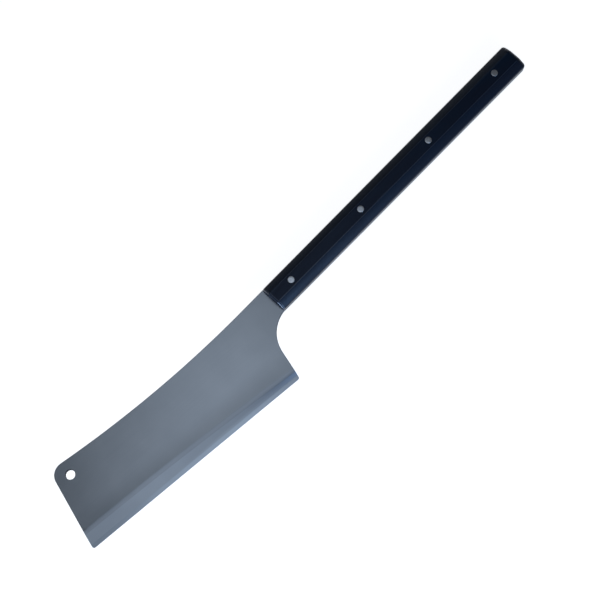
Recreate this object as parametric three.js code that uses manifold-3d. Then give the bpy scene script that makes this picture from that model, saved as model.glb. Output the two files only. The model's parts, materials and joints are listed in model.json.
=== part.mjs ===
// A long-handled butcher's splitting cleaver, lying on its side: a full-tang steel blade, two handle
// scales and four two-part rivets. Millimetres, +Z up. While it is built, X runs along the handle
// from the front of the scales to the butt, Y from the rivet row to the spine and Z from the blade's
// middle plane. The finished group then stands on Z = 0, centred on X and Y.
import * as THREE from 'three';
import { mergeVertices } from 'three/addons/utils/BufferGeometryUtils.js';
import Module from 'manifold-3d';

// Blade outline
const bladeThickness = 6;
const edgeLength = 266.8;
const edgeSlopeDegrees = 6.4;
const heelSetback = 39.5;
const heelDrop = 76.5;
const heelLeanDegrees = 7.2;
const tipLeanDegrees = 9.1;
const spineStraight = 32.2;
const spineRadius = 1250;
const tipCornerRadius = 14;
const edgeCornerRadius = 2.5;
const choilRadius = 38;
const easedEdge = 0.5;

// Grind: the main bevel widens from the heel to the tip, and a sharpened strip ends it
const bevelAtTip = 18;
const bevelAtHeel = 10;
const sharpenedWidth = 4.5;
const sharpenedThickness = 1.3;
const edgeThickness = 0.3;

// Hanging hole
const hangingHoleDiameter = 10;
const hangingHoleFromFront = 16;
const hangingHoleFromSpine = 15;

// Handle: the scales and the tang share this outline
const handleLength = 375.5;
const gripAboveRivets = 15;
const gripBelowRivetsFront = 15.8;
const gripBelowRivetsButt = 17.8;
const buttCornerAbove = 3.8;
const buttCornerBelow = 4.2;
const scaleThickness = 8;
const scaleFaceWidth = 12.2;
const scaleSideLand = 0.9;
const scaleEdgeRadius = 3;
const scaleEdgeDegrees = 55;
const scaleSlopeRadius = 53;
const scaleSlopeDegrees = 10;
const scaleFrontEase = 2.5;
const buttRoundLength = 6;
const buttEndLand = 2.5;

// Rivets: a solid stud pressed into a hollow socket, with both heads flush in the scales
const rivetCount = 4;
const firstRivetInset = 27.8;
const lastRivetInset = 32.7;
const rivetHeadDiameter = 7.5;
const rivetHeadHeight = 2;
const socketDiameter = 5;
const studDiameter = 3.2;
const studTipChamfer = 0.5;
const socketEndRoom = 3;
const studEndRoom = 1.5;
const headClearance = 0.08;
const shankClearance = 0.15;
const pressClearance = 0.05;

// Fineness of round stretches
const arcSegments = 12;
const choilSegments = 5;
const edgeSegments = 6;
const slopeSegments = 3;
const buttSegments = 8;
const grindSegments = 16;
const roundSides = 32;

// How far a cutter or an overlap reaches past the body it meets
const reach = 20;
const grindOvershoot = 1;
const weldDistance = 1e-4;

const wasm = await Module();
wasm.setup();

const halfBlade = bladeThickness / 2;
const halfHandle = halfBlade + scaleThickness;
const edgeSlope = THREE.MathUtils.degToRad(edgeSlopeDegrees);
const squareToEdge = Math.PI / 2 - edgeSlope;
const rivetPitch = (handleLength - firstRivetInset - lastRivetInset) / (rivetCount - 1);
const rivetStations = Array.from({ length: rivetCount }, (_, i) => firstRivetInset + i * rivetPitch);

function direction(angle) {
  return new THREE.Vector2(Math.cos(angle), Math.sin(angle));
}

// Solids are joined and cut on bare positions, with the shared corners welded
function toSolid(geometry) {
  const bare = geometry.clone();
  bare.deleteAttribute('normal');
  bare.deleteAttribute('uv');
  const welded = mergeVertices(bare, weldDistance);
  const vertProperties = new Float32Array(welded.getAttribute('position').array);
  const triVerts = new Uint32Array(welded.getIndex().array);
  return new wasm.Manifold(new wasm.Mesh({ numProp: 3, vertProperties, triVerts }));
}

function toGeometry(solid) {
  const mesh = solid.getMesh();
  const geometry = new THREE.BufferGeometry();
  geometry.setAttribute('position', new THREE.BufferAttribute(mesh.vertProperties, 3));
  geometry.setIndex(new THREE.BufferAttribute(mesh.triVerts, 1));
  geometry.computeVertexNormals();
  return geometry;
}

// The same shape on the other side of the blade's middle plane
function mirrored(geometry) {
  const copy = geometry.clone();
  copy.scale(1, 1, -1);
  copy.setIndex(Array.from(copy.getIndex().array).reverse());
  copy.computeVertexNormals();
  return copy;
}

// A closed skin through a row of sections. Each section is drawn counter-clockwise in the YZ plane
// of its own matrix, and all of them have as many points
function loft(stations) {
  const count = stations[0].section.length;
  const positions = [];
  const index = [];
  for (const { section, matrix } of stations) {
    for (const point of section) {
      const corner = new THREE.Vector3(0, point.x, point.y).applyMatrix4(matrix);
      positions.push(corner.x, corner.y, corner.z);
    }
  }
  for (let ring = 0; ring < stations.length - 1; ring++) {
    for (let i = 0; i < count; i++) {
      const here = ring * count + i;
      const next = ring * count + ((i + 1) % count);
      index.push(here, next, next + count);
      index.push(here, next + count, here + count);
    }
  }
  const last = (stations.length - 1) * count;
  for (const [a, b, c] of THREE.ShapeUtils.triangulateShape(stations[0].section, [])) {
    index.push(c, b, a);
  }
  for (const [a, b, c] of THREE.ShapeUtils.triangulateShape(stations.at(-1).section, [])) {
    index.push(last + a, last + b, last + c);
  }
  const geometry = new THREE.BufferGeometry();
  geometry.setAttribute('position', new THREE.Float32BufferAttribute(positions, 3));
  geometry.setIndex(index);
  return geometry;
}

// The arc that rounds a corner between two straight runs
function cornerArc(corner, incoming, outgoing, radius) {
  const turn = Math.atan2(incoming.cross(outgoing), incoming.dot(outgoing));
  const side = Math.sign(turn);
  const run = radius * Math.tan(Math.abs(turn) / 2);
  const centre = corner.clone().addScaledVector(incoming, -run);
  centre.add(new THREE.Vector2(-incoming.y, incoming.x).multiplyScalar(side * radius));
  const start = incoming.angle() - side * Math.PI / 2;
  return { centre, radius, start, end: start + turn, clockwise: turn < 0 };
}

// Draws a straight run up to the arc, then the arc
function addArc(outline, { centre, radius, start, end, clockwise }) {
  outline.absarc(centre.x, centre.y, radius, start, end, clockwise);
}

// The blade's corners and directions
const heel = new THREE.Vector2(-heelSetback, -heelDrop);
const towardsTip = direction(Math.PI - edgeSlope);
const tip = heel.clone().addScaledVector(towardsTip, edgeLength);
const upFront = direction(squareToEdge - THREE.MathUtils.degToRad(tipLeanDegrees));
const upHeel = direction(squareToEdge - THREE.MathUtils.degToRad(heelLeanDegrees));
const downHeel = upHeel.clone().negate();
const spineCentre = new THREE.Vector2(-spineStraight, gripAboveRivets + spineRadius);

// The handle's lower edge runs straight from the butt, then into the choil under the scales' front
const gripFlare = gripBelowRivetsButt - gripBelowRivetsFront;
const alongGrip = new THREE.Vector2(-handleLength, gripFlare).normalize();
const gripFront = new THREE.Vector2(0, -gripBelowRivetsFront);
const heelRise = gripFront.clone().sub(heel).cross(alongGrip) / upHeel.cross(alongGrip);
const choilCorner = heel.clone().addScaledVector(upHeel, heelRise);
const choil = cornerArc(choilCorner, alongGrip, downHeel, choilRadius);

// A point inside the top front corner, by its distances from the front end and from the spine's arc
function insideTopCorner(fromFront, fromSpine) {
  const inward = new THREE.Vector2(upFront.y, -upFront.x);
  const base = tip.clone().addScaledVector(inward, fromFront);
  const toCentre = spineCentre.clone().sub(base);
  const along = toCentre.dot(upFront);
  const across = toCentre.cross(upFront);
  const distance = spineRadius + fromSpine;
  return base.addScaledVector(upFront, along - Math.sqrt(distance ** 2 - across ** 2));
}

// Outline of the blade from the edge, up the front, along the hollow spine, back at the neck and
// round the choil. The neck runs on inside the handle, where the tang takes over
function bladeOutline() {
  const outline = new THREE.Shape();
  const middleOfEdge = heel.clone().add(tip).multiplyScalar(0.5);
  outline.moveTo(middleOfEdge.x, middleOfEdge.y);
  addArc(outline, cornerArc(tip, towardsTip, upFront, edgeCornerRadius));

  const cornerCentre = insideTopCorner(tipCornerRadius, tipCornerRadius);
  const frontAngle = upFront.angle() + Math.PI / 2;
  const spineAngle = spineCentre.clone().sub(cornerCentre).angle();
  outline.absarc(cornerCentre.x, cornerCentre.y, tipCornerRadius, frontAngle, spineAngle, true);
  outline.absarc(spineCentre.x, spineCentre.y, spineRadius, spineAngle - Math.PI, -Math.PI / 2, false);

  const neckEnd = Math.max(choil.centre.x, 0) + reach;
  outline.lineTo(neckEnd, gripAboveRivets);
  outline.lineTo(neckEnd, handleBottom(neckEnd));
  addArc(outline, choil);
  addArc(outline, cornerArc(heel, downHeel, towardsTip, edgeCornerRadius));
  outline.closePath();

  const hole = insideTopCorner(hangingHoleFromFront, hangingHoleFromSpine);
  const bore = new THREE.Path();
  bore.absarc(hole.x, hole.y, hangingHoleDiameter / 2, 0, 2 * Math.PI, false);
  outline.holes.push(bore);
  return outline;
}

// What the grinder takes off one cheek, as sections square to the edge from past the tip to past the
// heel. The bevel keeps its width behind the tip and narrows faster towards the heel
function grindCutter() {
  const towardsHeel = towardsTip.clone().negate();
  const intoBlade = direction(squareToEdge);
  const stations = [];
  for (let i = -1; i <= grindSegments + 1; i++) {
    const share = THREE.MathUtils.clamp(i / grindSegments, 0, 1);
    const overrun = reach * (Math.max(i - grindSegments, 0) - Math.max(-i, 0));
    const width = bevelAtTip + (bevelAtHeel - bevelAtTip) * share ** 2;
    const slope = (halfBlade - sharpenedThickness / 2) / (width - sharpenedWidth);
    const past = grindOvershoot / slope;
    const at = tip.clone().addScaledVector(towardsHeel, share * edgeLength + overrun);
    const matrix = new THREE.Matrix4().makeBasis(
      new THREE.Vector3(towardsHeel.x, towardsHeel.y, 0),
      new THREE.Vector3(intoBlade.x, intoBlade.y, 0),
      new THREE.Vector3(0, 0, 1),
    );
    matrix.setPosition(at.x, at.y, 0);
    const section = [
      new THREE.Vector2(-reach, edgeThickness / 2),
      new THREE.Vector2(0, edgeThickness / 2),
      new THREE.Vector2(sharpenedWidth, sharpenedThickness / 2),
      new THREE.Vector2(width + past, halfBlade + grindOvershoot),
      new THREE.Vector2(width + past, halfBlade + reach),
      new THREE.Vector2(-reach, halfBlade + reach),
    ];
    stations.push({ section, matrix });
  }
  return loft(stations);
}

// Places along the handle where its shape changes: the eased front, the end of the choil and the
// round of the butt
function handlePlaces() {
  const places = [0, scaleFrontEase];
  for (let i = 1; i <= choilSegments; i++) {
    places.push(Math.max(choil.centre.x, 0) * (i / choilSegments));
  }
  const roundLength = Math.max(buttRoundLength, buttCornerAbove, buttCornerBelow);
  for (let i = 0; i <= buttSegments; i++) {
    const turned = Math.sin((i / buttSegments) * Math.PI / 2);
    places.push(handleLength - roundLength * (1 - turned));
  }
  return [...new Set(places)].sort((a, b) => a - b);
}

const handleStations = handlePlaces();

// How far a quarter round of this length has fallen away, as a share of its height
function roundedOff(x, length) {
  const into = Math.max(0, x - handleLength + length) / length;
  return 1 - Math.sqrt(Math.max(0, 1 - into ** 2));
}

function handleTop(x) {
  return gripAboveRivets - buttCornerAbove * roundedOff(x, buttCornerAbove);
}

function handleBottom(x) {
  if (x < choil.centre.x) {
    return choil.centre.y + Math.sqrt(choilRadius ** 2 - (x - choil.centre.x) ** 2);
  }
  const straight = -gripBelowRivetsFront - gripFlare * (x / handleLength);
  return straight + buttCornerBelow * roundedOff(x, buttCornerBelow);
}

function tangOutline() {
  const above = handleStations.map((x) => new THREE.Vector2(x, handleTop(x)));
  const below = handleStations.map((x) => new THREE.Vector2(x, handleBottom(x)));
  return new THREE.Shape([...above, ...below.reverse()]);
}

function plate(outline, ease) {
  const geometry = new THREE.ExtrudeGeometry(outline, {
    depth: bladeThickness - 2 * ease,
    bevelEnabled: ease > 0,
    bevelThickness: ease,
    bevelSize: ease,
    bevelOffset: -ease,
    bevelSegments: 1,
    curveSegments: arcSegments,
  });
  return geometry.translate(0, 0, ease - halfBlade);
}

// A round bar along Z at a rivet, between two heights
function rivetBar(x, diameter, low, high) {
  const bar = new THREE.CylinderGeometry(diameter / 2, diameter / 2, high - low, roundSides);
  return bar.rotateX(Math.PI / 2).translate(x, 0, (low + high) / 2);
}

const shankBore = socketDiameter + 2 * shankClearance;
const headBore = rivetHeadDiameter + 2 * headClearance;
const shoulder = halfHandle - rivetHeadHeight;

function bladeGeometry() {
  const cutter = grindCutter();
  let solid = toSolid(plate(bladeOutline(), easedEdge)).add(toSolid(plate(tangOutline(), 0)));
  solid = solid.subtract(toSolid(cutter)).subtract(toSolid(mirrored(cutter)));
  for (const x of rivetStations) {
    solid = solid.subtract(toSolid(rivetBar(x, shankBore, -halfBlade - reach, halfBlade + reach)));
  }
  return toGeometry(solid);
}

// The flank of a scale, from its side land to its face: a round edge that goes over into a broad, nearly flat
// slope. It is given as shares of its width and rise, to be fitted to each station
function flankForm() {
  const edgeTurn = THREE.MathUtils.degToRad(scaleEdgeDegrees);
  const slopeTurn = THREE.MathUtils.degToRad(scaleSlopeDegrees);
  const edgeCentre = new THREE.Vector2(scaleEdgeRadius, 0);
  const slopeCentre = direction(-edgeTurn).multiplyScalar(scaleSlopeRadius - scaleEdgeRadius).add(edgeCentre);
  const points = [];
  for (let i = 0; i < edgeSegments; i++) {
    const angle = Math.PI - edgeTurn * (i / edgeSegments);
    points.push(direction(angle).multiplyScalar(scaleEdgeRadius).add(edgeCentre));
  }
  for (let i = 0; i <= slopeSegments; i++) {
    const angle = Math.PI - edgeTurn - slopeTurn * (i / slopeSegments);
    points.push(direction(angle).multiplyScalar(scaleSlopeRadius).add(slopeCentre));
  }
  const end = points[points.length - 1];
  return points.map((point) => point.clone().divide(end));
}

// One scale, above the tang: flat against the steel, with a flat outer face, sloping flanks, an eased
// front and a rounded butt
function scaleGeometry() {
  const flank = flankForm();
  const stations = handleStations.map((x) => {
    const top = handleTop(x);
    const bottom = handleBottom(x);
    const fallen = (scaleThickness - buttEndLand) * roundedOff(x, buttRoundLength);
    const eased = Math.max(0, scaleFrontEase - x);
    const rise = scaleThickness - fallen - eased;
    const flankWidth = (top - bottom - scaleFaceWidth) / 2;
    const section = [new THREE.Vector2(bottom, 0), new THREE.Vector2(top, 0)];
    const flankRise = rise - scaleSideLand;
    for (const share of flank) {
      section.push(new THREE.Vector2(top - flankWidth * share.x, scaleSideLand + flankRise * share.y));
    }
    for (const share of flank.toReversed()) {
      section.push(new THREE.Vector2(bottom + flankWidth * share.x, scaleSideLand + flankRise * share.y));
    }
    return { section, matrix: new THREE.Matrix4().makeTranslation(x, 0, halfBlade) };
  });
  let solid = toSolid(loft(stations));
  for (const x of rivetStations) {
    solid = solid.subtract(toSolid(rivetBar(x, shankBore, 0, halfHandle + reach)));
    solid = solid.subtract(toSolid(rivetBar(x, headBore, shoulder, halfHandle + reach)));
  }
  return toGeometry(solid);
}

// A turned piece from a profile of radius and height, from axis to axis
function turned(profile) {
  const points = profile.map(([radius, height]) => new THREE.Vector2(radius, height));
  return new THREE.LatheGeometry(points, roundSides).rotateX(Math.PI / 2);
}

function studGeometry() {
  const radius = studDiameter / 2;
  const end = studEndRoom - shoulder;
  return turned([
    [0, end],
    [radius - studTipChamfer, end],
    [radius, end + studTipChamfer],
    [radius, shoulder],
    [rivetHeadDiameter / 2, shoulder],
    [rivetHeadDiameter / 2, halfHandle],
    [0, halfHandle],
  ]);
}

function socketGeometry() {
  const bore = studDiameter / 2 + pressClearance;
  const end = shoulder - socketEndRoom;
  return turned([
    [0, -halfHandle],
    [rivetHeadDiameter / 2, -halfHandle],
    [rivetHeadDiameter / 2, -shoulder],
    [socketDiameter / 2, -shoulder],
    [socketDiameter / 2, end],
    [bore, end],
    [bore, -shoulder],
    [0, -shoulder],
  ]);
}

const steel = { color: 0x8a949f, metalness: 1, roughness: 0.42 };
const blackPlastic = { color: 0x12181f, metalness: 0, roughness: 0.4 };
const brightRivet = { color: 0xa3adb8, metalness: 1, roughness: 0.35 };

function piece(name, geometry, finish) {
  const mesh = new THREE.Mesh(geometry, new THREE.MeshStandardMaterial(finish));
  mesh.name = name;
  return mesh;
}

const cleaver = new THREE.Group();
cleaver.name = 'cleaver';
const upperScale = scaleGeometry();
cleaver.add(piece('blade', bladeGeometry(), steel));
cleaver.add(piece('upper_scale', upperScale, blackPlastic));
cleaver.add(piece('lower_scale', mirrored(upperScale), blackPlastic));
rivetStations.forEach((x, i) => {
  const rivet = new THREE.Group();
  rivet.position.x = x;
  rivet.add(piece(`rivet_${i + 1}_stud`, studGeometry(), brightRivet));
  rivet.add(piece(`rivet_${i + 1}_socket`, socketGeometry(), brightRivet));
  cleaver.add(rivet);
});

// Lies on its lower scale at Z = 0, centred along and across
const extent = new THREE.Box3().setFromObject(cleaver);
const middle = extent.getCenter(new THREE.Vector3());
cleaver.position.set(-middle.x, -middle.y, -extent.min.z);

export default cleaver;
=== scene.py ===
# A long-handled splitting cleaver, lying on its lower handle scale. Metres, in the frame of the solids:
# +X from the blade's tip to the butt, +Y from the cutting edge to the spine, +Z up.
import json
import math

import bmesh
import bpy
from mathutils import Matrix, Vector

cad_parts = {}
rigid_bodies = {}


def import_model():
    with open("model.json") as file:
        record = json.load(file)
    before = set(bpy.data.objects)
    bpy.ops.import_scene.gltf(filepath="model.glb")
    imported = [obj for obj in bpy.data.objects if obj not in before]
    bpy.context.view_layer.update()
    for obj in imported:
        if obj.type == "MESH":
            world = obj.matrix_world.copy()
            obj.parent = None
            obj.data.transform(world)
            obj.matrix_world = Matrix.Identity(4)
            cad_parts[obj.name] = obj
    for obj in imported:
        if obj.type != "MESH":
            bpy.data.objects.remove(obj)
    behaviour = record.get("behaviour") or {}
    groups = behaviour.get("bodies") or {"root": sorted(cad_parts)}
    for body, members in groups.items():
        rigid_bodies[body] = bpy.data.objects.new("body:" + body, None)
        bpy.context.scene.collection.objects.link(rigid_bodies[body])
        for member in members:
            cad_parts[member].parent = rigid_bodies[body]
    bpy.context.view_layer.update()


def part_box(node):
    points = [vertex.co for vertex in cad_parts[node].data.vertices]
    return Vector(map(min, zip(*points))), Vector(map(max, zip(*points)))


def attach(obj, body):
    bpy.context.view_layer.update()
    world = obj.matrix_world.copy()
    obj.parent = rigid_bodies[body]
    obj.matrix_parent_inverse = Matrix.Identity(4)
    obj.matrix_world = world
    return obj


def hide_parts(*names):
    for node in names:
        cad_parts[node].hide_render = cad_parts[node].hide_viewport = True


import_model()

# Blade
# One plate of stainless steel, cut to its outline in one piece with the tang that runs through the handle.
# The cheeks are belt-ground to a satin. The long bevels are ground in on both sides and blended into the
# cheeks, and the edge is sharpened on a stone.
MM = 0.001

scale_low, scale_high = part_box("upper_scale")
stud_low, stud_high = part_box("rivet_1_stud")
blade_low, blade_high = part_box("blade")
scale_front = scale_low.x
butt = scale_high.x
rivet_x = (stud_low.x + stud_high.x) / 2
rivet_row = (stud_low.y + stud_high.y) / 2
middle = (blade_low.z + blade_high.z) / 2
half_blade = (blade_high.z - blade_low.z) / 2

edge_length = 266.8 * MM
edge_slope = math.radians(6.4)
heel_lean = math.radians(7.2)
tip_lean = math.radians(9.1)
heel_setback = 39.5 * MM
heel_drop = 76.5 * MM
spine_straight = 32.2 * MM
spine_radius = 1250 * MM
tip_corner = 14 * MM
edge_corner = 2.5 * MM
choil_radius = 38 * MM
eased_edge = 0.5 * MM
bevel_at_tip = 18 * MM
bevel_at_heel = 10 * MM
grind_blend = 2.5 * MM
sharpened_width = 4.5 * MM
sharpened_half = 0.65 * MM
edge_half = 0.15 * MM
hole_radius = 5 * MM
hole_from_front = 16 * MM
hole_from_spine = 15 * MM
grip_above = 15 * MM
grip_below_front = 15.8 * MM
grip_below_butt = 17.8 * MM
butt_corner_above = 3.8 * MM
butt_corner_below = 4.2 * MM
rivet_count = 4
rivet_pitch = 105 * MM
rivet_hole_radius = 2.65 * MM

corner_steps = 12
spine_steps = 40
bevel_steps = 48
blend_steps = 6
ease_steps = 3
round_sides = 64
touching = 0.01 * MM


def heading(angle):
    """The way that lies at an angle from +X, counter-clockwise."""
    return Vector((math.cos(angle), math.sin(angle)))


square_to_edge = math.pi / 2 - edge_slope
into_blade = heading(square_to_edge)
up_front = heading(square_to_edge - tip_lean)
in_from_front = Vector((up_front.y, -up_front.x))
up_heel = heading(square_to_edge - heel_lean)
heel = Vector((scale_front - heel_setback, rivet_row - heel_drop))
tip = heel + heading(math.pi - edge_slope) * edge_length
spine_centre = Vector((scale_front - spine_straight, rivet_row + grip_above + spine_radius))
grip_flare = (grip_below_butt - grip_below_front) / (butt - scale_front)
grip_line = Vector((-1, grip_flare)).normalized()
grip_top = rivet_row + grip_above


def grip_bottom(x):
    """The straight lower edge of the handle."""
    return rivet_row - grip_below_front - grip_flare * (x - scale_front)


def inside_top_corner(from_front, from_spine):
    """The point at these distances from the blade's front end and from its spine."""
    base = tip + in_from_front * from_front
    to_centre = spine_centre - base
    along = to_centre.dot(up_front)
    across = to_centre.cross(up_front)
    return base + up_front * (along - math.sqrt((spine_radius + from_spine) ** 2 - across ** 2))


def rounded_corner(corner, incoming, outgoing, radius):
    """The arc that rounds a corner: its first point, its centre and the angle that it turns through."""
    turn = math.atan2(incoming.cross(outgoing), incoming.dot(outgoing))
    first = corner - incoming * (radius * math.tan(abs(turn) / 2))
    side = Vector((-incoming.y, incoming.x)) * math.copysign(radius, turn)
    return first, first + side, turn


def on_cheek(share, width):
    """A point of the blade: its share of the way from front to heel, and its distance from the edge."""
    front = tip + up_front * (width / math.cos(tip_lean))
    back = heel + up_heel * (width / math.cos(heel_lean))
    return front.lerp(back, share)


def bevel_width(share):
    """How wide the bevel is at a share of the way from front to heel."""
    return bevel_at_tip + (bevel_at_heel - bevel_at_tip) * share ** 2


def corner_cut(width, lean):
    """How much a rounded end of the cutting edge takes off the blade at a distance from the edge."""
    below = edge_corner - width
    if below <= -edge_corner * math.sin(lean):
        return 0
    return below * math.tan(lean) + edge_corner / math.cos(lean) - math.sqrt(edge_corner ** 2 - below ** 2)


def from_edge(place):
    """How far a place on the blade is from the line of the cutting edge."""
    return (place.xy - tip).dot(into_blade)


def first_corner(x, y, z):
    """Starts a line from one corner: in edit mode in the mesh that is open, and otherwise in a new one.

    A new mesh has its origin in the middle of the plate until its place is applied."""
    if bpy.context.mode == "OBJECT":
        bpy.ops.object.select_all(action="DESELECT")
    bpy.ops.mesh.primitive_plane_add(size=MM, location=(0, 0, middle))
    bpy.ops.object.mode_set(mode="EDIT")
    bpy.ops.mesh.select_mode(type="VERT")
    bpy.ops.mesh.merge(type="CENTER")
    bpy.ops.transform.translate(value=(x, y, z - middle))


def line_to(start, end):
    """Draws a straight line on from the corner that is selected."""
    bpy.ops.mesh.extrude_vertices_move(
        TRANSFORM_OT_translate={"value": (end.x - start.x, end.y - start.y, 0)})
    return end


def arc_on(start, centre, turn, steps):
    """Draws an arc on from the corner that is selected, counter-clockwise where the turn is positive."""
    bpy.ops.mesh.spin(steps=steps, angle=-turn, center=(centre.x, centre.y, 0), axis=(0, 0, 1))
    return centre + Matrix.Rotation(turn, 2) @ (start - centre)


def pick(kind, wanted):
    """Selects the edges or faces of the open mesh that a test accepts."""
    bpy.ops.mesh.select_mode(type=kind)
    bpy.ops.mesh.select_all(action="DESELECT")
    mesh = bpy.context.object.data
    shape = bmesh.from_edit_mesh(mesh)
    for item in {"EDGE": shape.edges, "FACE": shape.faces}[kind]:
        item.select_set(bool(wanted(item)))
    shape.select_flush_mode()
    bmesh.update_edit_mesh(mesh)


# The cheek's outline, clockwise from the upper line of the bevel at the front end
at = on_cheek(0, bevel_at_tip)
first_corner(*at, middle + half_blade)
blade = bpy.context.object
blade.name = "ground_blade"
bpy.ops.object.material_slot_add()
bpy.ops.object.material_slot_add()
blend_slot = 1
tip_corner_centre = inside_top_corner(tip_corner, tip_corner)
at = line_to(at, tip_corner_centre - in_from_front * tip_corner)
spine_start = tip_corner_centre + (spine_centre - tip_corner_centre).normalized() * tip_corner
tip_turn = (at - tip_corner_centre).angle_signed(spine_start - tip_corner_centre)
at = arc_on(at, tip_corner_centre, -abs(tip_turn), corner_steps)
spine_turn = abs((at - spine_centre).angle_signed(Vector((0, -1))))
at = arc_on(at, spine_centre, spine_turn, spine_steps)
first, centre, turn = rounded_corner(
    Vector((butt, grip_top)), Vector((1, 0)), Vector((0, -1)), butt_corner_above)
at = arc_on(line_to(at, first), centre, turn, corner_steps)
first, centre, turn = rounded_corner(
    Vector((butt, grip_bottom(butt))), Vector((0, -1)), grip_line, butt_corner_below)
at = arc_on(line_to(at, first), centre, turn, corner_steps)
to_heel = heel - Vector((scale_front, grip_bottom(scale_front)))
choil_corner = heel - up_heel * (to_heel.cross(grip_line) / up_heel.cross(grip_line))
first, choil_centre, turn = rounded_corner(choil_corner, grip_line, -up_heel, choil_radius)
at = arc_on(line_to(at, first), choil_centre, turn, 2 * corner_steps)
for step in range(bevel_steps + 1):
    share = 1 - step / bevel_steps
    at = line_to(at, on_cheek(share, bevel_width(share)))
bpy.ops.mesh.select_all(action="SELECT")
bpy.ops.mesh.remove_doubles(threshold=touching)
bpy.ops.mesh.edge_face_add()

# The bevel and the sharpened strip: lines along the edge, each bridged to the one above it
# They lie closer together towards the edge, where the strip's ends are rounded
height_above = half_blade
for part in (1, 0.8, 0.55, 0.36, 0.2, 0.08, 0):
    width = sharpened_width * part
    height = edge_half + (sharpened_half - edge_half) * part
    row_start = on_cheek(corner_cut(width, tip_lean) / edge_length, width)
    row_end = on_cheek(1 - corner_cut(width, -heel_lean) / edge_length, width)
    first_corner(*row_start, middle + height)
    line_to(row_start, row_end)
    bpy.ops.mesh.select_linked()
    bpy.ops.mesh.subdivide(number_cuts=bevel_steps - 1)
    pick("EDGE", lambda edge: all(
        min(abs(corner.co.z - height), abs(corner.co.z - height_above)) < touching
        and from_edge(corner.co) < bevel_at_tip + touching for corner in edge.verts))
    bpy.ops.mesh.bridge_edge_loops()
    height_above = height


def in_cheek(edge):
    """Whether both ends of an edge lie at the height of the cheek, and faces meet along it."""
    level_ends = all(abs(corner.co.z - half_blade) < touching for corner in edge.verts)
    return level_ends and len(edge.link_faces) == 2


# The belt blends the grind line into the cheek, which leaves a rounded band; it takes a material of its own,
# with painted shade
pick("EDGE", in_cheek)
bpy.ops.mesh.bevel(offset=grind_blend, segments=blend_steps, clamp_overlap=True, material=blend_slot)

# The rim goes down to the middle of the plate, its cheek side is eased, and the other side is the same
# A face counts as upright where the vertical part of its normal is less than this
upright = 0.5
bpy.ops.mesh.select_all(action="DESELECT")
bpy.ops.mesh.select_non_manifold(
    extend=False, use_wire=False, use_boundary=True, use_multi_face=False,
    use_non_contiguous=False, use_verts=False)
bpy.ops.mesh.extrude_region_move(TRANSFORM_OT_translate={"value": (0, 0, 0)})
bpy.ops.transform.resize(value=(1, 1, 0), center_override=(0, 0, middle))
pick("EDGE", lambda edge: in_cheek(edge) and any(abs(face.normal.z) < upright for face in edge.link_faces))
bpy.ops.mesh.bevel(offset=eased_edge, segments=ease_steps, clamp_overlap=True)
bpy.ops.object.mode_set(mode="OBJECT")
bpy.ops.object.modifier_add(type="MIRROR")
blade.modifiers[-1].use_axis = (False, False, True)
blade.modifiers[-1].merge_threshold = touching
bpy.ops.object.modifier_apply(modifier=blade.modifiers[-1].name)
bpy.ops.object.transform_apply(location=True, rotation=True, scale=True)
bpy.ops.object.mode_set(mode="EDIT")
bpy.ops.mesh.select_all(action="SELECT")
bpy.ops.mesh.remove_doubles(threshold=touching)
bpy.ops.mesh.normals_make_consistent(inside=False)
bpy.ops.object.mode_set(mode="OBJECT")


def punch(piece, drills):
    """Cuts round holes through a piece: each drill is a place, a radius, and the heights it goes between."""
    for x, y, radius, low, high in drills:
        bpy.ops.object.select_all(action="DESELECT")
        bpy.ops.mesh.primitive_cylinder_add(
            vertices=round_sides, radius=radius, depth=high - low, location=(x, y, (low + high) / 2))
        drill = bpy.context.object
        bpy.ops.object.select_all(action="DESELECT")
        piece.select_set(True)
        bpy.context.view_layer.objects.active = piece
        bpy.ops.object.modifier_add(type="BOOLEAN")
        piece.modifiers[-1].operation = "DIFFERENCE"
        piece.modifiers[-1].solver = "EXACT"
        piece.modifiers[-1].object = drill
        bpy.ops.object.modifier_apply(modifier=piece.modifiers[-1].name)
        bpy.data.objects.remove(drill)


# The hanging hole, with its edges eased, and the rivet holes through the tang
hanging_hole = inside_top_corner(hole_from_front, hole_from_spine)
through = (middle - 2 * half_blade, middle + 2 * half_blade)
rivet_places = [rivet_x + number * rivet_pitch for number in range(rivet_count)]
punch(blade, [(*hanging_hole, hole_radius, *through)])
punch(blade, [(x, rivet_row, rivet_hole_radius, *through) for x in rivet_places])
bpy.ops.object.mode_set(mode="EDIT")
pick("EDGE", lambda edge: all(
    abs((corner.co.xy - hanging_hole).length - hole_radius) < touching
    and abs(abs(corner.co.z - middle) - half_blade) < touching for corner in edge.verts))
bpy.ops.mesh.bevel(offset=eased_edge, segments=ease_steps, clamp_overlap=True)
bpy.ops.object.mode_set(mode="OBJECT")


def smooth(piece, degrees):
    """Shades a finished piece: smooth over the rounds, with the broad faces kept flat."""
    bpy.ops.object.select_all(action="DESELECT")
    piece.select_set(True)
    bpy.context.view_layer.objects.active = piece
    bpy.ops.object.shade_smooth_by_angle(angle=math.radians(degrees))
    bpy.ops.object.modifier_add(type="WEIGHTED_NORMAL")
    piece.modifiers[-1].keep_sharp = True
    bpy.ops.object.modifier_apply(modifier=piece.modifiers[-1].name)


smooth(blade, degrees=40)


def linear(colour):
    """An sRGB hex colour as linear values."""
    channels = [int(colour[place:place + 2], 16) / 255 for place in (1, 3, 5)]
    return [c / 12.92 if c <= 0.04045 else ((c + 0.055) / 1.055) ** 2.4 for c in channels] + [1]


def add_node(tree, kind, settings=None, inputs=None):
    """Adds a node with its settings, and sets each input or links it where it is given a socket."""
    made = tree.nodes.new(kind)
    for name, value in (settings or {}).items():
        setattr(made, name, value)
    for name, value in (inputs or {}).items():
        if isinstance(value, bpy.types.NodeSocket):
            tree.links.new(value, made.inputs[name])
        else:
            made.inputs[name].default_value = value
    return made


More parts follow.
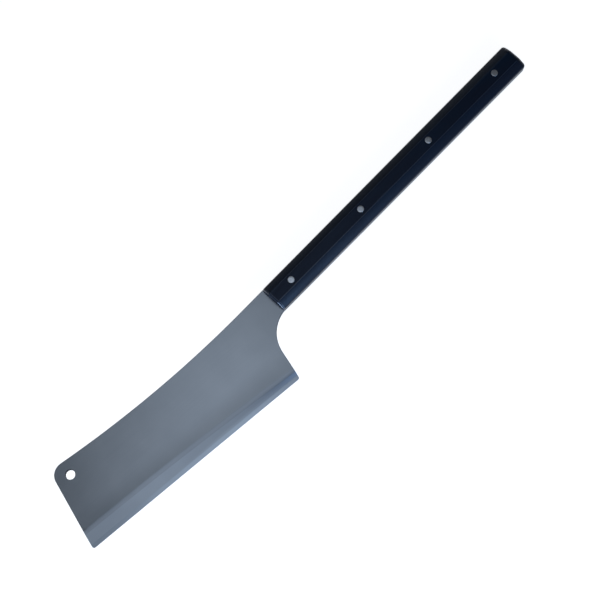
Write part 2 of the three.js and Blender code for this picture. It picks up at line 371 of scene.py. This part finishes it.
def new_material(name):
    """A material with an empty node tree, and that tree."""
    material = bpy.data.materials.new(name)
    material.use_nodes = True
    material.node_tree.nodes.clear()
    return material, material.node_tree


def ground_steel(name, pale, dark, grind_turn, grind_length, grind_width, depth, least_rough, most_rough,
                 painted_shade, join, clearing):
    """Stainless steel ground with a belt: fine parallel scratches over soft clouds of tone.

    A darker tone of painted shade lies over the steel. Each clearing says which way it gives way to the
    bright steel, X along the edge from the tip or Y away from the edge, and where that starts and ends.
    Clearings joined by MULTIPLY are bright where all of them are, and by MAXIMUM where any is."""
    cloud_size = 38 * MM
    cloud_share = 0.55
    noise_low, noise_high = 0.3, 0.7
    material, tree = new_material(name)
    place = add_node(tree, "ShaderNodeTexCoord").outputs["Object"]
    along = add_node(tree, "ShaderNodeMapping", {"vector_type": "TEXTURE"}, {
        "Vector": place, "Rotation": (0, 0, grind_turn), "Scale": (grind_length, grind_width, grind_width)})
    scratches = add_node(tree, "ShaderNodeTexNoise", {}, {
        "Vector": along.outputs["Vector"], "Scale": 1, "Detail": 3, "Roughness": 0.65})
    clouds = add_node(tree, "ShaderNodeTexNoise", {}, {
        "Vector": place, "Scale": 1 / cloud_size, "Detail": 3, "Roughness": 0.5})
    clouded = add_node(tree, "ShaderNodeMath", {"operation": "MULTIPLY"}, {
        0: clouds.outputs["Fac"], 1: cloud_share})
    tone = add_node(tree, "ShaderNodeMath", {"operation": "MULTIPLY_ADD", "use_clamp": True}, {
        0: scratches.outputs["Fac"], 1: 1 - cloud_share, 2: clouded.outputs[0]})
    spread = add_node(tree, "ShaderNodeMapRange", {}, {
        "Value": tone.outputs[0], "From Min": noise_low, "From Max": noise_high})
    bright = add_node(tree, "ShaderNodeMix", {"data_type": "RGBA"}, {
        0: spread.outputs["Result"], 6: linear(dark), 7: linear(pale)})
    painted_shade_mix = add_node(tree, "ShaderNodeMix", {"data_type": "RGBA", "blend_type": "MULTIPLY"}, {
        0: 1, 6: bright.outputs[2], 7: linear(painted_shade)})
    from_tip = add_node(tree, "ShaderNodeMapping", {"vector_type": "TEXTURE"}, {
        "Vector": place, "Location": (*tip, 0), "Rotation": (0, 0, -edge_slope)})
    run = add_node(tree, "ShaderNodeSeparateXYZ", {}, {"Vector": from_tip.outputs["Vector"]})
    clear = 1 if join == "MULTIPLY" else 0
    for way, start, end in clearing:
        cleared = add_node(tree, "ShaderNodeMapRange", {"interpolation_type": "SMOOTHSTEP"}, {
            "Value": run.outputs[way], "From Min": start, "From Max": end})
        joined = add_node(tree, "ShaderNodeMath", {"operation": join}, {
            0: clear, 1: cleared.outputs["Result"]})
        clear = joined.outputs[0]
    colour = add_node(tree, "ShaderNodeMix", {"data_type": "RGBA"}, {
        0: clear, 6: painted_shade_mix.outputs[2], 7: bright.outputs[2]})
    roughness = add_node(tree, "ShaderNodeMapRange", {}, {
        "Value": scratches.outputs["Fac"], "From Min": noise_low, "From Max": noise_high,
        "To Min": least_rough, "To Max": most_rough})
    relief = add_node(tree, "ShaderNodeBump", {}, {
        "Height": scratches.outputs["Fac"], "Strength": 0.35, "Distance": depth})
    steel = add_node(tree, "ShaderNodeBsdfPrincipled", {}, {
        "Base Color": colour.outputs[2], "Metallic": 1, "Roughness": roughness.outputs["Result"],
        "Normal": relief.outputs["Normal"]})
    add_node(tree, "ShaderNodeOutputMaterial", {}, {"Surface": steel.outputs["BSDF"]})
    return material


# Satin belt-ground stainless steel: a cool grey with long faint lines that follow the edge
# It is darker towards the tip, towards the neck and next to the grind, which is painted shade
# Real scratches of a few hundredths of a millimetre wouldn't show, so they are drawn ten times as wide
cheek_steel = ground_steel(
    "belt_ground_stainless_steel", pale="#cdd2d7", dark="#bdc3c9",
    grind_turn=-edge_slope, grind_length=70 * MM, grind_width=0.45 * MM, depth=0.03 * MM,
    least_rough=0.33, most_rough=0.41, painted_shade="#dfdfdf", join="MULTIPLY", clearing=[
        ("X", -0.3 * edge_length, 0.3 * edge_length),
        ("X", 1.3 * edge_length, 0.7 * edge_length),
        ("Y", 12 * MM, 40 * MM)])
# The line between bevel and cheek is blended soft by the belt; its darker tone, darker still towards the
# heel, is painted shade
blend_steel = ground_steel(
    "blended_grind_line_painted_shade", pale="#b8bec5", dark="#adb3bb",
    grind_turn=-edge_slope, grind_length=30 * MM, grind_width=0.4 * MM, depth=0.02 * MM,
    least_rough=0.3, most_rough=0.38, painted_shade="#ededed", join="MAXIMUM", clearing=[
        ("X", 0.7 * edge_length, 0.3 * edge_length)])
# The bevel is ground square to the edge. It is bright towards the tip and next to the sharpened strip, and
# darker towards the heel, which is painted shade
bevel_steel = ground_steel(
    "cross_ground_stainless_bevel", pale="#c8cfd6", dark="#bcc3cb",
    grind_turn=square_to_edge, grind_length=14 * MM, grind_width=0.4 * MM, depth=0.02 * MM,
    least_rough=0.3, most_rough=0.38, painted_shade="#ededed", join="MAXIMUM", clearing=[
        ("X", 0.7 * edge_length, 0.3 * edge_length),
        ("Y", 8.5 * MM, sharpened_width)])
# The sharpened strip comes off the stone nearly bright; it is darker at both ends, which is painted shade
edge_steel = ground_steel(
    "stone_sharpened_stainless_edge", pale="#cfd9e2", dark="#c5cdd8",
    grind_turn=-edge_slope, grind_length=20 * MM, grind_width=0.6 * MM, depth=0.004 * MM,
    least_rough=0.3, most_rough=0.36, painted_shade="#e2e2e2", join="MULTIPLY", clearing=[
        ("X", 0, 0.45 * edge_length),
        ("X", 1.05 * edge_length, 0.75 * edge_length)])
# The rim and rivet holes stay as they were cut: a dull grey streaked through the plate
# Its darkening towards the tip is painted shade
rim_steel = ground_steel(
    "sheared_dull_stainless_rim", pale="#7d8186", dark="#5f6468",
    grind_turn=0, grind_length=0.8 * MM, grind_width=3 * MM, depth=0.05 * MM,
    least_rough=0.5, most_rough=0.62, painted_shade="#c8c8c8", join="MULTIPLY", clearing=[
        ("X", 0, 0.3 * edge_length)])
# The wall of the drilled hanging hole is painted near-black in patches and nearly matt: painted shade in the
# hole
shade_patch_size = 1.5 * MM
hole_painted_shade, tree = new_material("drilled_hole_painted_shade")
place = add_node(tree, "ShaderNodeTexCoord").outputs["Object"]
shade_patches = add_node(tree, "ShaderNodeTexNoise", {}, {
    "Vector": place, "Scale": 1 / shade_patch_size, "Detail": 3, "Roughness": 0.6})
colour = add_node(tree, "ShaderNodeMix", {"data_type": "RGBA"}, {
    0: shade_patches.outputs["Fac"], 6: linear("#14181c"), 7: linear("#33383d")})
hole_shade_surface = add_node(tree, "ShaderNodeBsdfPrincipled", {}, {
    "Base Color": colour.outputs[2], "Roughness": 0.75, "Specular IOR Level": 0.2})
add_node(tree, "ShaderNodeOutputMaterial", {}, {"Surface": hole_shade_surface.outputs["BSDF"]})

# Each face gets its finish by its slope and place, and the blended band keeps the one it has
level = 0.9999
hole_wall = 0.9
finishes = [cheek_steel, blend_steel, bevel_steel, edge_steel, rim_steel, hole_painted_shade]
blade.material_slots[0].material = cheek_steel
blade.material_slots[blend_slot].material = blend_steel
for finish in finishes[2:]:
    blade.data.materials.append(finish)
for face in blade.data.polygons:
    width = from_edge(face.center)
    rise = abs(face.normal.z)
    sloped = upright < rise < level
    if rise < hole_wall and (face.center.xy - hanging_hole).length < hole_radius + eased_edge:
        face.material_index = finishes.index(hole_painted_shade)
    elif rise < upright or sloped and width > bevel_at_tip + grind_blend:
        face.material_index = finishes.index(rim_steel)
    elif sloped and width < sharpened_width:
        face.material_index = finishes.index(edge_steel)
    elif sloped and face.material_index != blend_slot and face.center.x < scale_front:
        face.material_index = finishes.index(bevel_steel)
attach(blade, "root")
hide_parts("blade")

# Handle scales
# Two slabs of black plastic, moulded to one shape with sloping flanks and a flat face, one on each side of
# the tang. Each has four counterbored holes, and the rivets through them clamp both slabs to the steel.
scale_thickness = scale_high.z - scale_low.z
joint = blade_high.z
front_ease = 2.9 * MM
joint_ease = 0.25 * MM
butt_round = 6 * MM
butt_end = 2.5 * MM
head_seat_radius = 3.83 * MM
head_seat_depth = 2.1 * MM
seat_ease = 0.3 * MM
edge_round = 3 * MM
edge_turn = math.radians(55)
flank_radius = 53 * MM
flank_turn = math.radians(10)
face_ease = 0.45 * MM
drill_overrun = 2 * MM

edge_steps = 8
flank_steps = 4
choil_steps = 6
butt_steps = 8
front_ease_steps = 6
fine_ease_steps = 2


def off_corner(distance, radius):
    """How far a rounded corner of the butt falls away at a distance from the end."""
    if distance >= radius:
        return 0
    return radius - math.sqrt(radius ** 2 - (radius - distance) ** 2)


def section_at(x):
    """The scale's section at a place along the handle: its lower edge, its height and its thickness."""
    from_butt = max(butt - x, 0)
    top = grip_top - off_corner(from_butt, butt_corner_above)
    bottom = grip_bottom(x) + off_corner(from_butt, butt_corner_below)
    if x < choil_centre.x:
        bottom = choil_centre.y + math.sqrt(choil_radius ** 2 - (x - choil_centre.x) ** 2)
    thickness = scale_thickness
    if from_butt < butt_round:
        fall = math.sqrt(1 - (1 - from_butt / butt_round) ** 2)
        thickness = butt_end + (scale_thickness - butt_end) * fall
    return bottom, top - bottom, thickness


# The section at the front: from the joint up a low side, round the edge, and over the nearly flat flank to
# the face, which it meets at an angle
bottom, height, thickness = section_at(scale_front)
flank_end = edge_turn + flank_turn
further = flank_radius - edge_round
flank_reach = edge_round + further * math.cos(edge_turn) - flank_radius * math.cos(flank_end)
flank_rise = flank_radius * math.sin(flank_end) - further * math.sin(edge_turn)
side_land = scale_thickness - flank_rise
scale_face = height - 2 * flank_reach
edge_y = bottom + edge_round
edge_z = joint + side_land
flank_y = edge_y + further * math.cos(edge_turn)
flank_z = edge_z - further * math.sin(edge_turn)
across = 2 * bottom + height
first_corner(scale_front, bottom, joint)
upper_scale = bpy.context.object
upper_scale.name = "moulded_scale_upper"
bpy.ops.object.material_slot_add()
bpy.ops.object.material_slot_add()
rubbed_highlight_slot = 1
bpy.ops.mesh.extrude_vertices_move(TRANSFORM_OT_translate={"value": (0, 0, side_land)})
bpy.ops.mesh.spin(steps=edge_steps, angle=edge_turn, axis=(1, 0, 0), center=(0, edge_y, edge_z))
bpy.ops.mesh.spin(steps=flank_steps, angle=flank_turn, axis=(1, 0, 0), center=(0, flank_y, flank_z))
bpy.ops.mesh.extrude_vertices_move(TRANSFORM_OT_translate={"value": (0, scale_face, 0)})
bpy.ops.mesh.spin(steps=flank_steps, angle=flank_turn, axis=(1, 0, 0), center=(0, across - flank_y, flank_z))
bpy.ops.mesh.spin(steps=edge_steps, angle=edge_turn, axis=(1, 0, 0), center=(0, across - edge_y, edge_z))
bpy.ops.mesh.extrude_vertices_move(TRANSFORM_OT_translate={"value": (0, 0, -side_land)})
bpy.ops.mesh.select_all(action="SELECT")
bpy.ops.mesh.remove_doubles(threshold=touching)
bpy.ops.mesh.edge_face_add()

# The section drawn out to the butt, station by station
clear_of_front = scale_front + 1.1 * front_ease
stations = [clear_of_front]
for step in range(1, choil_steps + 1):
    stations.append(clear_of_front + max(choil_centre.x - clear_of_front, front_ease) * step / choil_steps)
stations.append(butt - butt_round)
for step in range(1, butt_steps + 1):
    stations.append(butt - butt_round * (1 - math.sin(math.pi / 2 * step / butt_steps)))
bpy.ops.mesh.select_mode(type="FACE")
at = scale_front
for x in stations:
    next_bottom, next_height, next_thickness = section_at(x)
    bpy.ops.mesh.extrude_region_move(TRANSFORM_OT_translate={"value": (x - at, next_bottom - bottom, 0)})
    bpy.ops.transform.resize(
        value=(1, next_height / height, next_thickness / thickness), center_override=(x, next_bottom, joint))
    at, bottom, height, thickness = x, next_bottom, next_height, next_thickness
bpy.ops.mesh.select_all(action="SELECT")
bpy.ops.mesh.normals_make_consistent(inside=False)


def at_length(edge, x):
    """Whether both ends of an edge lie at a place along the handle."""
    return all(abs(corner.co.x - x) < touching for corner in edge.verts)


def on_joint(edge):
    """Whether both ends of an edge lie on the joint with the tang."""
    return all(abs(corner.co.z + middle - joint) < touching for corner in edge.verts)


# The moulding's edges: eased along the face, at the front, along the joint with the steel and at the butt
# Hands rub the first two smooth, so these take the second finish, whose paler tone is partly a painted
# highlight
face_rise = 0.999
flank_face_rise = 0.7
crease = math.radians(6)
pick("EDGE", lambda edge: len(edge.link_faces) == 2
     and any(face.normal.z > face_rise for face in edge.link_faces)
     and all(abs(face.normal.z) > flank_face_rise for face in edge.link_faces)
     and edge.calc_face_angle() > crease)
bpy.ops.mesh.bevel(offset=face_ease, segments=fine_ease_steps, clamp_overlap=True, material=rubbed_highlight_slot)
pick("EDGE", lambda edge: at_length(edge, scale_front) and not on_joint(edge))
bpy.ops.mesh.bevel(offset=front_ease, segments=front_ease_steps, clamp_overlap=True, material=rubbed_highlight_slot)
pick("EDGE", lambda edge: on_joint(edge) and any(abs(face.normal.z) < upright for face in edge.link_faces))
bpy.ops.mesh.bevel(offset=joint_ease, segments=fine_ease_steps, clamp_overlap=True)
pick("EDGE", lambda edge: at_length(edge, butt))
bpy.ops.mesh.bevel(offset=joint_ease, segments=fine_ease_steps, clamp_overlap=True)
bpy.ops.object.mode_set(mode="OBJECT")
bpy.ops.object.transform_apply(location=True, rotation=True, scale=True)

# The rivet holes, with a counterbore for each head
drill_bottom = joint - drill_overrun
drill_top = scale_high.z + drill_overrun
seat_floor = scale_high.z - head_seat_depth
punch(upper_scale, [(x, rivet_row, rivet_hole_radius, drill_bottom, drill_top) for x in rivet_places])
punch(upper_scale, [(x, rivet_row, head_seat_radius, seat_floor, drill_top) for x in rivet_places])


def round_a_seat(edge):
    """Whether both ends of an edge lie on the rim of one counterbore, at the scale's face."""
    at_face = all(abs(corner.co.z - scale_high.z) < touching for corner in edge.verts)
    seats = [Vector((x, rivet_row)) for x in rivet_places]
    return at_face and any(
        all(abs((corner.co.xy - seat).length - head_seat_radius) < touching for corner in edge.verts)
        for seat in seats)


bpy.ops.object.mode_set(mode="EDIT")
pick("EDGE", round_a_seat)
bpy.ops.mesh.bevel(offset=seat_ease, segments=fine_ease_steps, clamp_overlap=True)
bpy.ops.object.mode_set(mode="OBJECT")

# The lower scale is the same moulding, turned over to the other side of the tang
bpy.ops.object.select_all(action="DESELECT")
upper_scale.select_set(True)
bpy.context.view_layer.objects.active = upper_scale
bpy.ops.object.duplicate(linked=False)
lower_scale = bpy.context.object
lower_scale.name = "moulded_scale_lower"
bpy.ops.object.mode_set(mode="EDIT")
bpy.ops.mesh.select_all(action="SELECT")
bpy.ops.transform.resize(value=(1, 1, -1), center_override=(0, 0, middle))
bpy.ops.mesh.normals_make_consistent(inside=False)
bpy.ops.object.mode_set(mode="OBJECT")
smooth(upper_scale, degrees=35)
smooth(lower_scale, degrees=35)


def moulded_plastic(name, pale, dark, most_rough, least_rough, shine, grain_depth):
    """Black polypropylene from a grained mould, with soft clouds in its tone and gloss from handling."""
    grain_size = 0.35 * MM
    handling_size = (60 * MM, 9 * MM, 9 * MM)
    material, tree = new_material(name)
    place = add_node(tree, "ShaderNodeTexCoord").outputs["Object"]
    grain = add_node(tree, "ShaderNodeTexNoise", {}, {
        "Vector": place, "Scale": 1 / grain_size, "Detail": 2, "Roughness": 0.6})
    along_handle = add_node(tree, "ShaderNodeMapping", {"vector_type": "TEXTURE"}, {
        "Vector": place, "Scale": handling_size})
    handling = add_node(tree, "ShaderNodeTexNoise", {}, {
        "Vector": along_handle.outputs["Vector"], "Scale": 1, "Detail": 4, "Roughness": 0.6})
    shade = add_node(tree, "ShaderNodeMapRange", {}, {
        "Value": handling.outputs["Fac"], "From Min": 0.35, "From Max": 0.68})
    colour = add_node(tree, "ShaderNodeMix", {"data_type": "RGBA"}, {
        0: shade.outputs["Result"], 6: linear(dark), 7: linear(pale)})
    roughness = add_node(tree, "ShaderNodeMapRange", {}, {
        "Value": handling.outputs["Fac"], "From Min": 0.3, "From Max": 0.7,
        "To Min": most_rough, "To Max": least_rough})
    relief = add_node(tree, "ShaderNodeBump", {}, {
        "Height": grain.outputs["Fac"], "Strength": 0.25, "Distance": grain_depth})
    plastic = add_node(tree, "ShaderNodeBsdfPrincipled", {}, {
        "Base Color": colour.outputs[2], "Roughness": roughness.outputs["Result"], "IOR": 1.49,
        "Specular IOR Level": shine, "Normal": relief.outputs["Normal"]})
    add_node(tree, "ShaderNodeOutputMaterial", {}, {"Surface": plastic.outputs["BSDF"]})
    return material


# The faces and flanks keep the fine grain of the mould: blue-black and satin
# The grain of about a tenth of a millimetre is drawn at a third of a millimetre, or it wouldn't show
handle_plastic = moulded_plastic(
    "moulded_black_polypropylene", pale="#051d32", dark="#03152a",
    most_rough=0.46, least_rough=0.36, shine=0.35, grain_depth=0.03 * MM)
# The eased edges are rubbed smooth by hands, so they shine; their paler tone is partly that wear and partly a
# painted highlight
rubbed_plastic_with_highlight = moulded_plastic(
    "rubbed_black_polypropylene_painted_highlight", pale="#1c3146", dark="#14263a",
    most_rough=0.32, least_rough=0.24, shine=1, grain_depth=0.01 * MM)
for scale, node in ((upper_scale, "upper_scale"), (lower_scale, "lower_scale")):
    scale.material_slots[0].material = handle_plastic
    scale.material_slots[rubbed_highlight_slot].material = rubbed_plastic_with_highlight
    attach(scale, "root")
    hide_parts(node)

# Rivets
# Four two-part cutler's rivets of aluminium: a solid stud from above, pressed into a hollow socket below.
# Both are turned with flat heads that sit level with the scales, and a fine chamfer round each head.
head_radius = 3.75 * MM
head_height = 2 * MM
head_chamfer = 0.3 * MM
head_crown = 0.12 * MM
crown_ring = 0.3 * head_radius
stud_radius = 1.6 * MM
stud_chamfer = 0.5 * MM
socket_radius = 2.5 * MM
socket_bore = 1.65 * MM
socket_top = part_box("rivet_1_socket")[1].z
stud_gap = 1.5 * MM
bore_bottom = stud_low.z - stud_gap
chamfer_steps = 3
end_rise = 0.9


def on_head_rim(corner, top):
    """Whether a corner lies on the outer rim of a head whose face is at this height."""
    from_axis = (corner.co.xy - Vector((rivet_x, rivet_row))).length
    return abs(corner.co.z - top) < touching and from_axis > head_radius - crown_ring / 2


def rivet_head(name, low):
    """A turned head: a disc with a chamfered rim and a slight crown, its outer face at the top."""
    bpy.ops.object.select_all(action="DESELECT")
    bpy.ops.mesh.primitive_cylinder_add(
        vertices=round_sides, radius=head_radius, depth=head_height,
        location=(rivet_x, rivet_row, low + head_height / 2))
    bpy.context.object.name = name
    bpy.ops.object.transform_apply(location=True, rotation=True, scale=True)
    bpy.ops.object.mode_set(mode="EDIT")
    pick("FACE", lambda face: face.normal.z > end_rise)
    bpy.ops.mesh.inset(thickness=crown_ring)
    bpy.ops.mesh.inset(thickness=crown_ring)
    pick("EDGE", lambda edge: all(on_head_rim(corner, low + head_height) for corner in edge.verts))
    bpy.ops.transform.translate(value=(0, 0, -head_crown))
    bpy.ops.mesh.bevel(offset=head_chamfer, segments=chamfer_steps, clamp_overlap=True)
    return bpy.context.object


# The stud, from its head down
stud = rivet_head("turned_stud_1", stud_high.z - head_height)
pick("FACE", lambda face: face.normal.z < -end_rise)
bpy.ops.mesh.inset(thickness=head_radius - stud_radius)
shank = stud_high.z - head_height - stud_low.z
stud_end = 1 - stud_chamfer / stud_radius
bpy.ops.mesh.extrude_region_move(TRANSFORM_OT_translate={"value": (0, 0, stud_chamfer - shank)})
bpy.ops.mesh.extrude_region_move(TRANSFORM_OT_translate={"value": (0, 0, -stud_chamfer)})
bpy.ops.transform.resize(value=(stud_end, stud_end, 1), center_override=(rivet_x, rivet_row, stud_low.z))
bpy.ops.object.mode_set(mode="OBJECT")

# The socket, drawn head up and turned over, with the bore that takes the stud
socket = rivet_head("turned_socket_1", 2 * middle - head_height)
pick("FACE", lambda face: face.normal.z < -end_rise)
bpy.ops.mesh.inset(thickness=head_radius - socket_radius)
bpy.ops.mesh.extrude_region_move(TRANSFORM_OT_translate={"value": (0, 0, head_height - socket_top)})
bpy.ops.mesh.inset(thickness=socket_radius - socket_bore)
bpy.ops.mesh.extrude_region_move(TRANSFORM_OT_translate={"value": (0, 0, socket_top - bore_bottom)})
bpy.ops.mesh.select_all(action="SELECT")
bpy.ops.transform.resize(value=(1, 1, -1), center_override=(0, 0, middle))
bpy.ops.mesh.normals_make_consistent(inside=False)
bpy.ops.object.mode_set(mode="OBJECT")
smooth(stud, degrees=30)
smooth(socket, degrees=30)

# Turned aluminium: pale and fairly bright, with rings left by the tool round the middle of each head
# The tool's feed of about a tenth of a millimetre is drawn at 0.6 mm, so that the rings show
# A wave texture has a ring every pi / 10 at a scale of 1
ring_pitch = 0.6 * MM
ring_scale = math.pi / 10 / ring_pitch
stain_size = 2.2 * MM
rivet_metal, tree = new_material("turned_aluminium")
place = add_node(tree, "ShaderNodeTexCoord").outputs["Object"]
parts = add_node(tree, "ShaderNodeSeparateXYZ", {}, {"Vector": place})
from_axis = add_node(tree, "ShaderNodeMath", {"operation": "WRAP"}, {
    0: parts.outputs["X"], 1: rivet_x + rivet_pitch / 2, 2: rivet_x - rivet_pitch / 2})
own_place = add_node(tree, "ShaderNodeCombineXYZ", {}, {
    "X": from_axis.outputs[0], "Y": parts.outputs["Y"], "Z": parts.outputs["Z"]})
centred = add_node(tree, "ShaderNodeMapping", {"vector_type": "TEXTURE"}, {
    "Vector": own_place.outputs["Vector"], "Location": (rivet_x, rivet_row, 0)})
rings = add_node(tree, "ShaderNodeTexWave", {"wave_type": "RINGS", "rings_direction": "Z"}, {
    "Vector": centred.outputs["Vector"], "Scale": ring_scale, "Distortion": 0.6, "Detail": 2})
stains = add_node(tree, "ShaderNodeTexNoise", {}, {
    "Vector": place, "Scale": 1 / stain_size, "Detail": 3, "Roughness": 0.6})
shade = add_node(tree, "ShaderNodeMapRange", {}, {
    "Value": stains.outputs["Fac"], "From Min": 0.3, "From Max": 0.7})
colour = add_node(tree, "ShaderNodeMix", {"data_type": "RGBA"}, {
    0: shade.outputs["Result"], 6: linear("#d8dce1"), 7: linear("#e7eaed")})
roughness = add_node(tree, "ShaderNodeMapRange", {}, {
    "Value": rings.outputs["Fac"], "To Min": 0.38, "To Max": 0.28})
relief = add_node(tree, "ShaderNodeBump", {}, {
    "Height": rings.outputs["Fac"], "Strength": 0.3, "Distance": 0.02 * MM})
aluminium = add_node(tree, "ShaderNodeBsdfPrincipled", {}, {
    "Base Color": colour.outputs[2], "Metallic": 1, "Roughness": roughness.outputs["Result"],
    "Normal": relief.outputs["Normal"]})
add_node(tree, "ShaderNodeOutputMaterial", {}, {"Surface": aluminium.outputs["BSDF"]})

# One stud and one socket at each hole
for model, half in ((stud, "stud"), (socket, "socket")):
    model.data.materials.append(rivet_metal)
    for number in range(1, rivet_count + 1):
        rivet = model
        if number > 1:
            bpy.ops.object.select_all(action="DESELECT")
            model.select_set(True)
            bpy.context.view_layer.objects.active = model
            bpy.ops.object.duplicate(linked=False)
            rivet = bpy.context.object
            rivet.name = f"turned_{half}_{number}"
            bpy.ops.transform.translate(value=((number - 1) * rivet_pitch, 0, 0))
            bpy.ops.object.transform_apply(location=True, rotation=True, scale=True)
        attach(rivet, "root")
        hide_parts(f"rivet_{number}_{half}")

# Studio
# A plain white table in a dim pale room that is paler towards the horizon. A soft light hangs overhead, and
# two cool windows stand low, one to the right and one below the picture. The camera looks down steeply.
scene = bpy.context.scene
scene.view_settings.view_transform = "Standard"
camera_turn = math.radians(-46.46)
camera_height = math.radians(76)
camera_distance = 1446.5 * MM
camera_aim = Vector((-15.41 * MM, -0.51 * MM, middle))
picture_right = Vector((math.cos(camera_turn), math.sin(camera_turn), 0))
picture_up = Vector((-math.sin(camera_turn), math.cos(camera_turn), 0))
towards_camera = Vector((0, 0, math.sin(camera_height))) - picture_up * math.cos(camera_height)
bpy.ops.object.camera_add(location=camera_aim + towards_camera * camera_distance)
camera = bpy.context.object
camera.rotation_euler = towards_camera.to_track_quat("Z", "Y").to_euler()
camera.data.sensor_width = 36
camera.data.lens = 84
camera.data.clip_start = 0.01
scene.camera = camera

# The table shows white to the camera and in reflections, a little of it from the lamps, so that it keeps the
# object's shadow
table_size = 40
table_drop = 0.05 * MM
table_glow = 0.86
table_white, tree = new_material("white_table")
rays = add_node(tree, "ShaderNodeLightPath")
seen = add_node(tree, "ShaderNodeMath", {"operation": "ADD"}, {
    0: rays.outputs["Is Camera Ray"], 1: rays.outputs["Is Glossy Ray"]})
seen = add_node(tree, "ShaderNodeMath", {"operation": "ADD", "use_clamp": True}, {
    0: seen.outputs[0], 1: rays.outputs["Is Transmission Ray"]})
glow = add_node(tree, "ShaderNodeMath", {"operation": "MULTIPLY"}, {0: seen.outputs[0], 1: table_glow})
matt = add_node(tree, "ShaderNodeBsdfDiffuse", {}, {"Color": linear("#f4f5f6")})
bright = add_node(tree, "ShaderNodeEmission", {}, {"Color": linear("#ffffff"), "Strength": glow.outputs[0]})
both = add_node(tree, "ShaderNodeAddShader", {}, {0: matt.outputs["BSDF"], 1: bright.outputs["Emission"]})
add_node(tree, "ShaderNodeOutputMaterial", {}, {"Surface": both.outputs["Shader"]})
bpy.ops.object.select_all(action="DESELECT")
bpy.ops.mesh.primitive_plane_add(size=table_size, location=(0, 0, -table_drop))
table = bpy.context.object
table.name = "table"
table.data.materials.append(table_white)

# The room, by how far a way rises above the horizon
horizon_rise, ceiling_rise = 0.1, 0.75
horizon_light, ceiling_light = 0.25, 0.055
room = bpy.data.worlds.new("pale_room")
scene.world = room
room.use_nodes = True
tree = room.node_tree
tree.nodes.clear()
way = add_node(tree, "ShaderNodeTexCoord").outputs["Generated"]
way_parts = add_node(tree, "ShaderNodeSeparateXYZ", {}, {"Vector": way})
room_light = add_node(tree, "ShaderNodeMapRange", {}, {
    "Value": way_parts.outputs["Z"], "From Min": horizon_rise, "From Max": ceiling_rise,
    "To Min": horizon_light, "To Max": ceiling_light})
sky = add_node(tree, "ShaderNodeBackground", {}, {
    "Color": linear("#eef3fa"), "Strength": room_light.outputs["Result"]})
add_node(tree, "ShaderNodeOutputWorld", {}, {"Surface": sky.outputs["Background"]})


def soft_light(name, right, up, height, facing, width, length, power, colour):
    """A rectangular soft light, placed and faced by the picture's directions, its width level."""
    place = camera_aim + picture_right * right + picture_up * up + Vector((0, 0, height))
    back = (place - camera_aim).normalized() if facing == "object" else Vector((0, 0, 1))
    side = Vector((0, 0, 1)).cross(back).normalized() if facing == "object" else picture_right
    axes = Matrix((side, back.cross(side), back)).transposed()
    bpy.ops.object.light_add(type="AREA", location=place, rotation=axes.to_euler())
    lamp = bpy.context.object
    lamp.name = name
    lamp.data.shape = "RECTANGLE"
    lamp.data.size = width
    lamp.data.size_y = length
    lamp.data.energy = power
    lamp.data.color = linear(colour)[:3]


soft_light(
    "overhead", right=0.03, up=-0.05, height=1.0, facing="down",
    width=0.66, length=0.9, power=1.19, colour="#dae8fa")
soft_light(
    "side_window", right=0.58, up=-0.4, height=0.42, facing="object",
    width=0.26, length=0.28, power=1.85, colour="#9fc8ff")
soft_light(
    "low_window", right=-0.3, up=-1.26, height=0.22, facing="object",
    width=0.6, length=0.4, power=7, colour="#b9d6ff")
